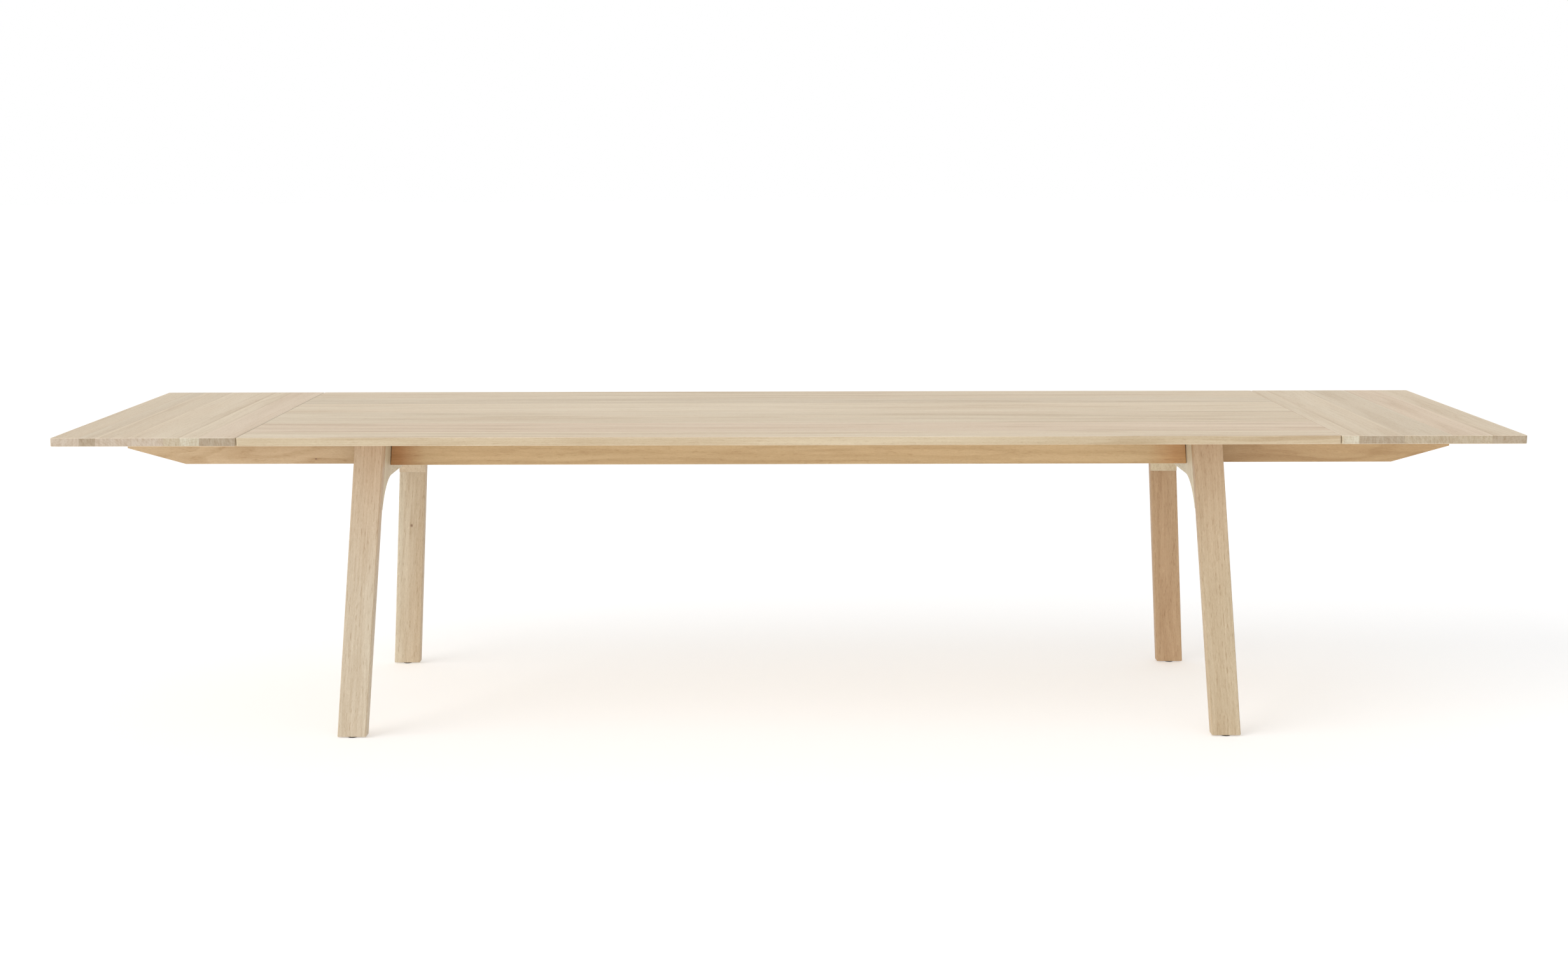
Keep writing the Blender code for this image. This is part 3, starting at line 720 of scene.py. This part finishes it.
def build_main_top():
    """Long boards glued edge to edge, with the leaf dowels' sockets in the ends."""
    low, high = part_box("main_top")
    chance = random.Random(TOP_SEED)
    edges = [low.y]
    boards = []
    for number, (width, tone, end_tone) in enumerate(TOP_BOARDS):
        boards.append(Board(
            (low.x, edges[-1], low.z), X_AXIS, Y_AXIS, tone, TOP_SEED + number, width=width,
            end_tone=end_tone, edge_tone="edge_honey",
            pith=(width * chance.uniform(0.2, 0.8), -chance.uniform(0.03, 0.10)),
        ))
        edges.append(edges[-1] + width)
    body = rounded_board(low, high, TOP_EDGE, TOP_CORNER)
    holes = []
    for side_name, side in SIDES.items():
        for number in (1, 2, 3):
            peg_low, peg_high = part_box(f"leaf_dowel_{side_name}_{number}")
            centre = (peg_low + peg_high) / 2
            radius = (peg_high.z - peg_low.z) / 2 + SOCKET_CLEARANCE
            depth = (peg_high.x - peg_low.x) / 2 + SOCKET_SPARE_DEPTH
            mouth = Vector((side * (high.x + OVERSHOOT / 2), centre.y, centre.z))
            holes.append((mouth, Vector((side * (high.x - depth), centre.y, centre.z))))
    body = drilled(body, holes, radius)
    slice_at(body, edges[1:-1], Y_AXIS)
    finish_piece("main_top_boards", body, board_picker(edges, boards, Y_AXIS), TOP_OAK, "main_top", "frame")


def build_leaf(side_name, side):
    """Short boards running across the table, so the long edges show end grain."""
    node = "leaf_" + side_name
    low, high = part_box(node)
    seed = LEAF_SEEDS[side_name]
    chance = random.Random(seed)
    joint = min(abs(low.x), abs(high.x))
    edges = [side * joint]
    boards = []
    for number, (width, tone, end_tone) in enumerate(LEAF_BOARDS[side_name]):
        boards.append(Board(
            (edges[-1], low.y, low.z), Y_AXIS, side * X_AXIS, tone, seed + number,
            width=width, end_tone=end_tone, edge_tone="edge_honey",
            pith=(width * chance.uniform(-0.3, 1.3), chance.choice((-1, 1)) * chance.uniform(0.02, 0.07)),
        ))
        edges.append(edges[-1] + side * width)
    if side < 0:
        edges.reverse()
        boards.reverse()
    body = rounded_board(low, high, TOP_EDGE, TOP_CORNER)
    slice_at(body, edges[1:-1], X_AXIS)
    finish_piece(node + "_boards", body, board_picker(edges, boards, X_AXIS), LEAF_OAK, node, node)


# ---------------------------------------------------------------- end frames


def leg_lean(side_name, face_name):
    """How far the leg moves in x and in y for each metre up."""
    low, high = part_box(f"leg_{face_name}_{side_name}")
    height = high.z - low.z
    lean_x = (high.x - low.x - LEG_WIDTH) / height
    lean_y = (high.y - low.y - LEG_THICKNESS) / height
    return -SIDES[side_name] * lean_x, -FACES[face_name] * lean_y


def build_leg(side_name, side, face_name, face):
    """Upright box on its foot, softened, parted into boards and tones, then leaned."""
    node = f"leg_{face_name}_{side_name}"
    low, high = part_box(node)
    lean_x, lean_y = leg_lean(side_name, face_name)
    foot_x = low.x if side < 0 else high.x - LEG_WIDTH
    foot_y = low.y if face < 0 else high.y - LEG_THICKNESS
    foot_low = Vector((foot_x, foot_y, low.z))
    foot_high = Vector((foot_x + LEG_WIDTH, foot_y + LEG_THICKNESS, high.z))
    body = rounded_box(foot_low, foot_high, LEG_EDGE, segments=4)
    slice_at(body, evenly(low.z, high.z, 6), Z_AXIS)
    key = (side_name, face_name)
    if key in SIDE_TONES:
        slice_at(body, evenly(foot_low.x, foot_high.x, 6), X_AXIS)
    shear(body, lean_x, lean_y, low.z)
    origin = Vector((foot_x + LEG_WIDTH / 2, foot_y + LEG_THICKNESS / 2, low.z))
    width = 0.0
    # The left front leg takes a painted shade line along its inner edge, drawn as a glue line at the board's
    # origin
    if key in LEGS_WITH_EDGE_SHADE:
        origin.x -= side * (LEG_WIDTH / 2 - EDGE_SHADE_INSET)
        width = 4 * side * LEG_WIDTH
    board = Board(
        origin, (lean_x, lean_y, 1.0), X_AXIS, LEG_TONES[key], LEG_SEED + 10 * side + 3 * face,
        length=high.z - low.z, width=width, side_tone=SIDE_TONES.get(key), side_width=LEG_WIDTH,
        knot=LEG_KNOTS.get(key, NO_KNOT),
    )
    finish_piece(node + "_wood", body, lambda polygon: board, FRAME_OAK, node, "frame")


def crossbar_underside():
    """Height of the crossbar's underside between its arches, from its CAD mesh."""
    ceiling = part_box("rail_front")[0].z - 0.02
    return max(v.co.z for v in frame["nodes"]["crossbar_left"].data.vertices if v.co.z < ceiling)


def crossbar_outline(side_name):
    """Half of the outline as (y, z), rear side, with its arch and the bearer's notch."""
    low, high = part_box("crossbar_" + side_name)
    lean_y = abs(leg_lean(side_name, "rear")[1])
    centre_z = crossbar_underside() - ARCH_RADIUS
    rise = low.z - centre_z
    centre_y = high.y + lean_y * rise - ARCH_RADIUS * sqrt(1 + lean_y**2)
    last = atan(rise / sqrt(ARCH_RADIUS**2 - rise**2))
    half = []
    for step in range(33):
        angle = pi / 2 + (last - pi / 2) * step / 32
        half.append((centre_y + ARCH_RADIUS * cos(angle), centre_z + ARCH_RADIUS * sin(angle)))
    bearer_low, bearer_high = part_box("bearer_rear_" + side_name)
    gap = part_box("main_top")[0].z - bearer_high.z
    notch_floor = bearer_low.z - JOINT_GAP
    half += [
        (high.y, low.z),
        (high.y - lean_y * (high.z - low.z), high.z),
        (bearer_high.y + gap, high.z),
        (bearer_high.y + gap, notch_floor),
        (bearer_low.y - gap, notch_floor),
        (bearer_low.y - gap, high.z),
    ]
    return half, centre_y


def build_crossbar(side_name, side):
    """A beam across the table, with a corner block at each end whose wood runs upright."""
    node = "crossbar_" + side_name
    low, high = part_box(node)
    half, block_y = crossbar_outline(side_name)
    points = half + [(-y, z) for y, z in reversed(half)]
    lean_x = leg_lean(side_name, "front")[0]
    top_x = (low.x + high.x) / 2 + lean_x * (high.z - low.z) / 2
    body = extruded(points, LEG_WIDTH / 2, lambda u, v, w: Vector((top_x + w, u, v)))
    soften(body, ARCH_EDGE, segments=2, sharper_than=30.0)
    slice_at(body, (-block_y, block_y), Y_AXIS)
    shear(body, lean_x, 0.0, high.z)
    upright = Vector((lean_x, 0.0, 1.0))
    beam_tone = CROSSBAR_TONES[side_name, "front"]
    beam = Board((top_x, low.y, low.z), Y_AXIS, upright, beam_tone, BEAM_SEED + side)
    blocks = {}
    for face_name, face in FACES.items():
        lean_y = leg_lean(side_name, face_name)[1]
        blocks[face] = Board(
            (top_x, face * block_y, low.z), (lean_x, lean_y, 1.0), Y_AXIS,
            CROSSBAR_TONES[side_name, face_name], BLOCK_SEED + 2 * side + face,
        )

    def pick(polygon):
        if abs(polygon.center.y) < block_y:
            return beam
        return blocks[-1 if polygon.center.y < 0 else 1]

    finish_piece(node + "_wood", body, pick, FRAME_OAK, node, "frame")


# ---------------------------------------------------------------- rails, stretcher and bearers


def build_rail(face_name, face):
    """Bar with its ends cut to the legs' lean."""
    node = "rail_" + face_name
    low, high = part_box(node)
    lean_x = abs(leg_lean("left", face_name)[0])
    setback = lean_x * (high.z - low.z) + RAIL_END_GAP
    outline = ((low.x, low.z), (high.x, low.z), (high.x - setback, high.z), (low.x + setback, high.z))
    middle_y = (low.y + high.y) / 2
    body = extruded(outline, (high.y - low.y) / 2, lambda u, v, w: Vector((u, middle_y - w, v)))
    soften(body, RAIL_EDGE)
    slice_at(body, [low.x + place * (high.x - low.x) for place, tone in RAIL_TONES[1:-1]], X_AXIS)
    board = Board(
        (low.x, middle_y, low.z), X_AXIS, Z_AXIS, RAIL_TONES, RAIL_SEED + face,
        length=high.x - low.x, pith=(0.03, -0.07),
    )
    finish_piece(node + "_wood", body, lambda polygon: board, RAIL_OAK, node, "frame")


def build_stretcher():
    """Bar across the table between the rails."""
    low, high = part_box("stretcher")
    body = rounded_box(low, high, RAIL_EDGE)
    board = Board((low.x, low.y, low.z), Y_AXIS, Z_AXIS, "rail_honey", STRETCHER_SEED)
    finish_piece("stretcher_wood", body, lambda polygon: board, RAIL_OAK, "stretcher", "frame")


def build_bearer(side_name, side, face_name, face):
    """Bar with a tapered tip, and a rebate along its inner foot where the keeper runs."""
    node = f"bearer_{face_name}_{side_name}"
    low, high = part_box(node)
    inner, tip = sorted((abs(low.x), abs(high.x)))
    keeper_reach = max(abs(corner.x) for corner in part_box(f"keeper_{face_name}_{side_name}"))
    travel = next(joint["range_m"][1] for joint in frame["joints"] if joint["child"] == node)
    rebate_end = keeper_reach + travel + REBATE_SPARE
    outline = (
        (side * inner, low.z),
        (side * (tip - BEARER_TAPER_LENGTH), low.z),
        (side * tip, high.z - BEARER_TIP_DEPTH),
        (side * tip, high.z),
        (side * inner, high.z),
    )
    middle_y = (low.y + high.y) / 2
    body = extruded(outline, (high.y - low.y) / 2, lambda u, v, w: Vector((u, middle_y - w, v)))
    inner_y = min(abs(low.y), abs(high.y))
    xs = sorted((side * (inner - OVERSHOOT), side * rebate_end))
    ys = sorted((face * (inner_y - OVERSHOOT), face * (inner_y + REBATE_WIDTH)))
    cutter_low = Vector((xs[0], ys[0], low.z - OVERSHOOT))
    cutter_high = Vector((xs[1], ys[1], low.z + REBATE_HEIGHT))
    body = without(body, rounded_box(cutter_low, cutter_high, CUTTER_EDGE, segments=1))
    soften(body, RAIL_EDGE, sharper_than=40.0)
    slice_at(body, evenly(low.x, high.x, 8), X_AXIS)
    board = Board(
        (side * tip, middle_y, low.z), -side * X_AXIS, Z_AXIS, BEARER_TONES[side_name],
        BEARER_SEED + 2 * side + face, length=tip - inner, pith=BEARER_PITHS[side_name],
        knot=BEARER_KNOTS.get((side_name, face_name), NO_KNOT),
    )
    finish_piece(node + "_wood", body, lambda polygon: board, BEARER_OAK, node, node)


def dress_cad_nodes():
    """Hidden hardware keeps its CAD shape and takes its finish by material slot."""
    finishes = {"beech": turned_beech(), "zinc_steel": zinc_steel(), "felt": wool_felt()}
    for entry in frame["record"]["subparts"]:
        finish = finishes.get(entry["material_slot"])
        if finish:
            for slot in frame["nodes"][entry["node"]].material_slots:
                slot.material = finish


# ---------------------------------------------------------------- studio


CAMERA_PLACE = (-0.011, -4.971, 1.373)
CAMERA_PITCH = 9.22          # degrees below level
CAMERA_ROLL = -0.115         # degrees
CAMERA_LENS = 45.55
DOME_RADIUS = 60.0
SKY_LIGHT = 0.72
FLOOR_GLOW = 0.34
KEY_FROM = (-0.80, -0.45, 0.42)
KEY_LIGHT = 1.4
KEY_WIDTH = 50.0             # degrees across
FILL_PLACE = (0.0, -6.5, 1.0)
FILL_AIM = (0.0, 0.0, 0.4)
FILL_SIZE = (6.0, 1.4)
FILL_POWER = 40.0
FLOOR_GREY = 0.80


def build_camera():
    """Camera at the photograph's angle."""
    camera_data = bpy.data.cameras.new("camera")
    camera_data.lens = CAMERA_LENS
    camera_data.sensor_width = 36.0
    camera = bpy.data.objects.new("camera", camera_data)
    camera.location = CAMERA_PLACE
    aim = Matrix.Rotation(radians(90.0 - CAMERA_PITCH), 4, "X")
    roll = Matrix.Rotation(radians(CAMERA_ROLL), 4, "Z")
    camera.rotation_mode = "QUATERNION"
    camera.rotation_quaternion = (aim @ roll).to_quaternion()
    bpy.context.scene.collection.objects.link(camera)
    bpy.context.scene.camera = camera


def hang_light(light, place, direction):
    item = bpy.data.objects.new(light.name, light)
    item.location = place
    item.rotation_mode = "QUATERNION"
    item.rotation_quaternion = direction.to_track_quat("-Z", "Y")
    bpy.context.scene.collection.objects.link(item)


def add_fill_light():
    """Long softbox behind the camera."""
    light = bpy.data.lights.new("front_fill", "AREA")
    light.shape = "RECTANGLE"
    light.size, light.size_y = FILL_SIZE
    light.energy = FILL_POWER
    hang_light(light, FILL_PLACE, Vector(FILL_AIM) - Vector(FILL_PLACE))


def add_key_light():
    """Wide distant window light, from the left and a little in front."""
    light = bpy.data.lights.new("key", "SUN")
    light.angle = radians(KEY_WIDTH)
    light.energy = KEY_LIGHT
    hang_light(light, (0.0, 0.0, 0.0), -Vector(KEY_FROM))


def stage_piece(name, body, paint):
    """Floor or backdrop, which is no part of the table."""
    mesh = bpy.data.meshes.new(name)
    body.to_mesh(mesh)
    body.free()
    mesh.materials.append(paint)
    piece = bpy.data.objects.new(name, mesh)
    bpy.context.scene.collection.objects.link(piece)
    return piece


def glowing_white(name, grey, glow):
    """Matt paint of a grey, from 0 to 1, that glows white."""
    paint = bpy.data.materials.new(name)
    paint.use_nodes = True
    shader = paint.node_tree.nodes["Principled BSDF"]
    shader.inputs["Base Color"].default_value = (grey, grey, grey, 1.0)
    shader.inputs["Roughness"].default_value = 0.9
    shader.inputs["Specular IOR Level"].default_value = 0.0
    shader.inputs["Emission Color"].default_value = (1.0, 1.0, 1.0, 1.0)
    shader.inputs["Emission Strength"].default_value = glow
    return paint


def build_floor():
    """Plain white floor, lit a little from below as a light table is."""
    body = bmesh.new()
    bmesh.ops.create_grid(body, x_segments=1, y_segments=1, size=DOME_RADIUS)
    stage_piece("studio_floor", body, glowing_white("white_floor", FLOOR_GREY, FLOOR_GLOW))


def build_dome():
    """White surroundings that the camera sees; the studio light passes through them."""
    body = bmesh.new()
    bmesh.ops.create_uvsphere(body, u_segments=32, v_segments=16, radius=DOME_RADIUS)
    dome = stage_piece("studio_dome", body, glowing_white("white_dome", 0.0, 1.0))
    dome.visible_diffuse = False
    dome.visible_glossy = False
    dome.visible_transmission = False
    dome.visible_shadow = False


def build_studio():
    """White world, floor, dome and the two lights."""
    world = bpy.data.worlds.new("studio")
    world.use_nodes = True
    background = world.node_tree.nodes["Background"]
    background.inputs["Color"].default_value = (1.0, 1.0, 1.0, 1.0)
    background.inputs["Strength"].default_value = SKY_LIGHT
    scene = bpy.context.scene
    scene.world = world
    scene.view_settings.view_transform = "Standard"
    build_floor()
    build_dome()
    add_key_light()
    add_fill_light()


build_main_top()
build_stretcher()
dress_cad_nodes()
for side_name, side in SIDES.items():
    build_leaf(side_name, side)
    build_crossbar(side_name, side)
    for face_name, face in FACES.items():
        build_leg(side_name, side, face_name, face)
        build_bearer(side_name, side, face_name, face)
for face_name, face in FACES.items():
    build_rail(face_name, face)
build_camera()
build_studio()

bpy.context.view_layer.update()
